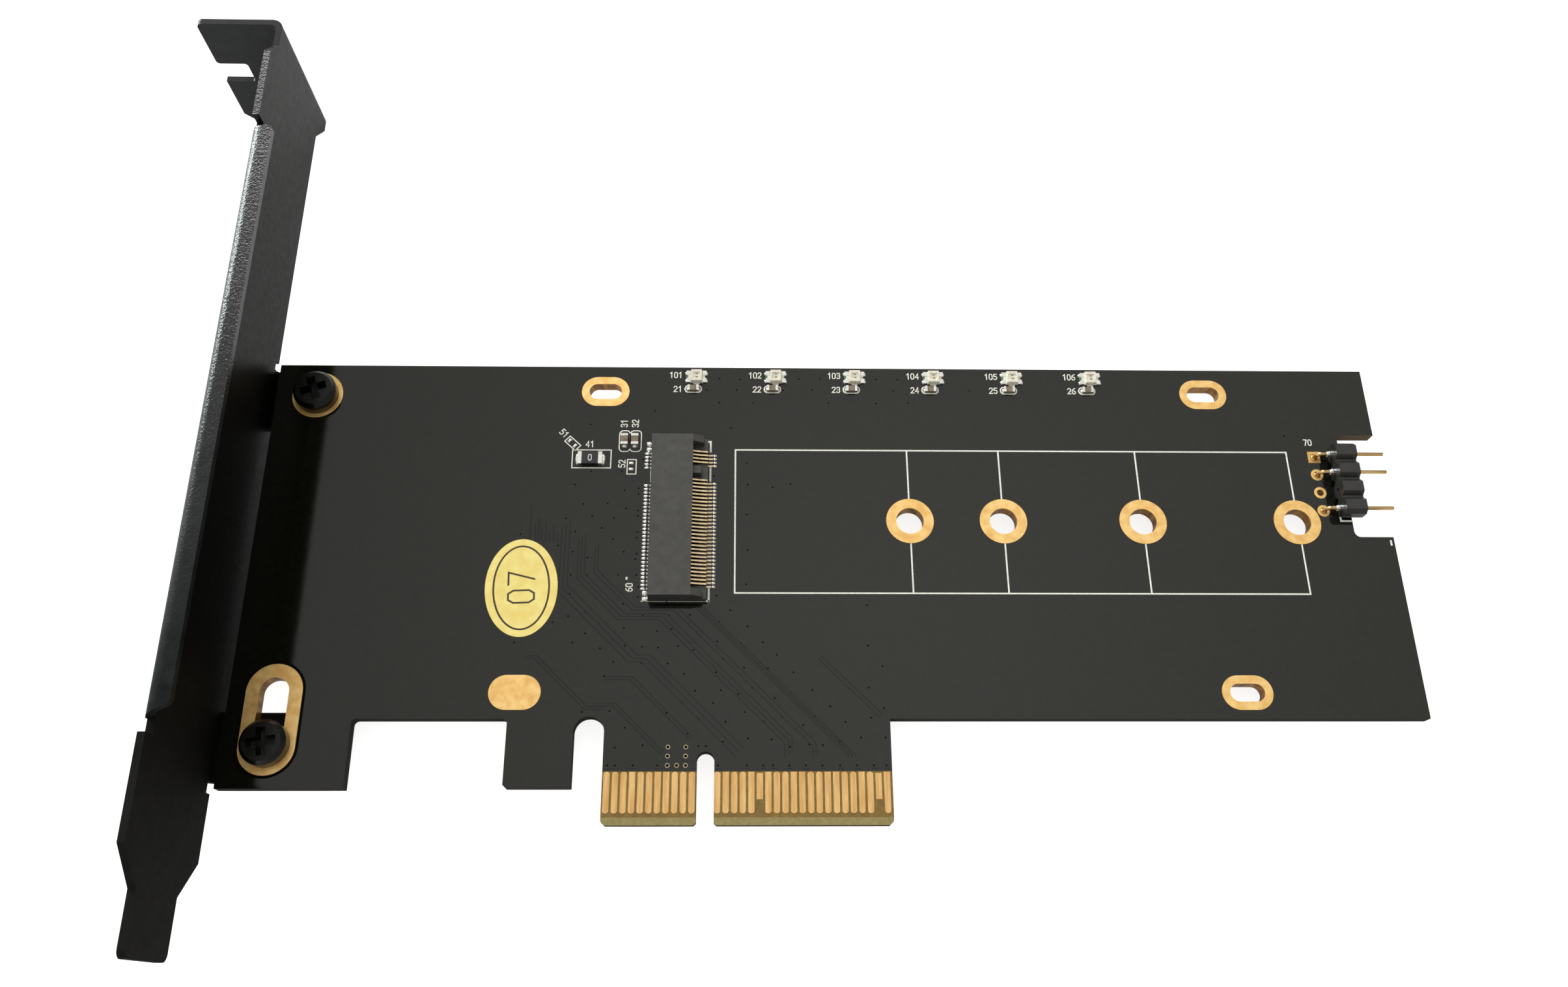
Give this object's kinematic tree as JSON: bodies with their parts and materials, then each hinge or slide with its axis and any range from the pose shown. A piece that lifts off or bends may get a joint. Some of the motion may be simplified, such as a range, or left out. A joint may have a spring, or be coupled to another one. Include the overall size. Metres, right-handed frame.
{
  "type": "nvme adapter card",
  "caption": "Short expansion card that carries an M.2 solid-state drive, with a folded end bracket, gold edge contacts and a pin header.",
  "frame": {"origin": "centre of the key notch on the lower edge of the contact tongue, half way through the board", "axes": "+X along the card away from the bracket, +Y up the card from the edge contacts to the LEDs, +Z out of the component face"},
  "size_m": [0.1579, 0.1201, 0.0212],
  "materials": {
    "solder_mask": "glossy black solder mask over laminate",
    "bracket_black": "semi-gloss black powder coat",
    "screw_black": "black oxide",
    "contact_gold": "gold flash over nickel",
    "pad_gold": "immersion gold",
    "solder": "bright tin",
    "socket_plastic": "fine-textured moulding",
    "socket_contact": "gold and tin plated bronze",
    "header_plastic": "moulded",
    "link_ceramic": "dark glaze over ceramic",
    "chip_end": "bright tin",
    "label_paper": "paper label",
    "pin_gold": "gold flash",
    "led_white": "white resin",
    "capacitor_ceramic": "fired ceramic"
  },
  "bodies": {
    "root": {"bracket": "bracket_black", "bracket_pad_bottom": "pad_gold", "bracket_pad_top": "pad_gold", "bracket_screw_bottom": "screw_black", "bracket_screw_top": "screw_black", "edge_contacts_front": "contact_gold", "edge_contacts_rear": "contact_gold", "empty_resistor_pads": "solder", "ground_pad": "pad_gold", "header_pads": "pad_gold", "header_pin_1": "pin_gold", "header_pin_2": "pin_gold", "header_pin_4": "pin_gold", "header_solder": "solder", "heatsink_slot_ring_bottom": "pad_gold", "heatsink_slot_ring_left": "pad_gold", "heatsink_slot_ring_top": "pad_gold", "input_capacitor_1": "capacitor_ceramic", "input_capacitor_2": "capacitor_ceramic", "input_capacitor_caps_1": "chip_end", "input_capacitor_caps_2": "chip_end", "inspection_sticker": "label_paper", "led_capacitor_1": "capacitor_ceramic", "led_capacitor_2": "capacitor_ceramic", "led_capacitor_3": "capacitor_ceramic", "led_capacitor_4": "capacitor_ceramic", "led_capacitor_5": "capacitor_ceramic", "led_capacitor_6": "capacitor_ceramic", "led_capacitor_caps_1": "chip_end", "led_capacitor_caps_2": "chip_end", "led_capacitor_caps_3": "chip_end", "led_capacitor_caps_4": "chip_end", "led_capacitor_caps_5": "chip_end", "led_capacitor_caps_6": "chip_end", "led_package_1": "led_white", "led_package_2": "led_white", "led_package_3": "led_white", "led_package_4": "led_white", "led_package_5": "led_white", "led_package_6": "led_white", "led_terminals_1": "chip_end", "led_terminals_2": "chip_end", "led_terminals_3": "chip_end", "led_terminals_4": "chip_end", "led_terminals_5": "chip_end", "led_terminals_6": "chip_end", "m2_hole_ring_30": "pad_gold", "m2_hole_ring_42": "pad_gold", "m2_hole_ring_60": "pad_gold", "m2_hole_ring_80": "pad_gold", "m2_socket_hold_downs": "solder", "m2_socket_housing": "socket_plastic", "m2_socket_lower_contacts": "socket_contact", "m2_socket_upper_contacts": "socket_contact", "pcb": "solder_mask", "pin_header_body": "header_plastic", "zero_ohm_link": "link_ceramic", "zero_ohm_link_caps": "chip_end"}
  },
  "joints": []
}
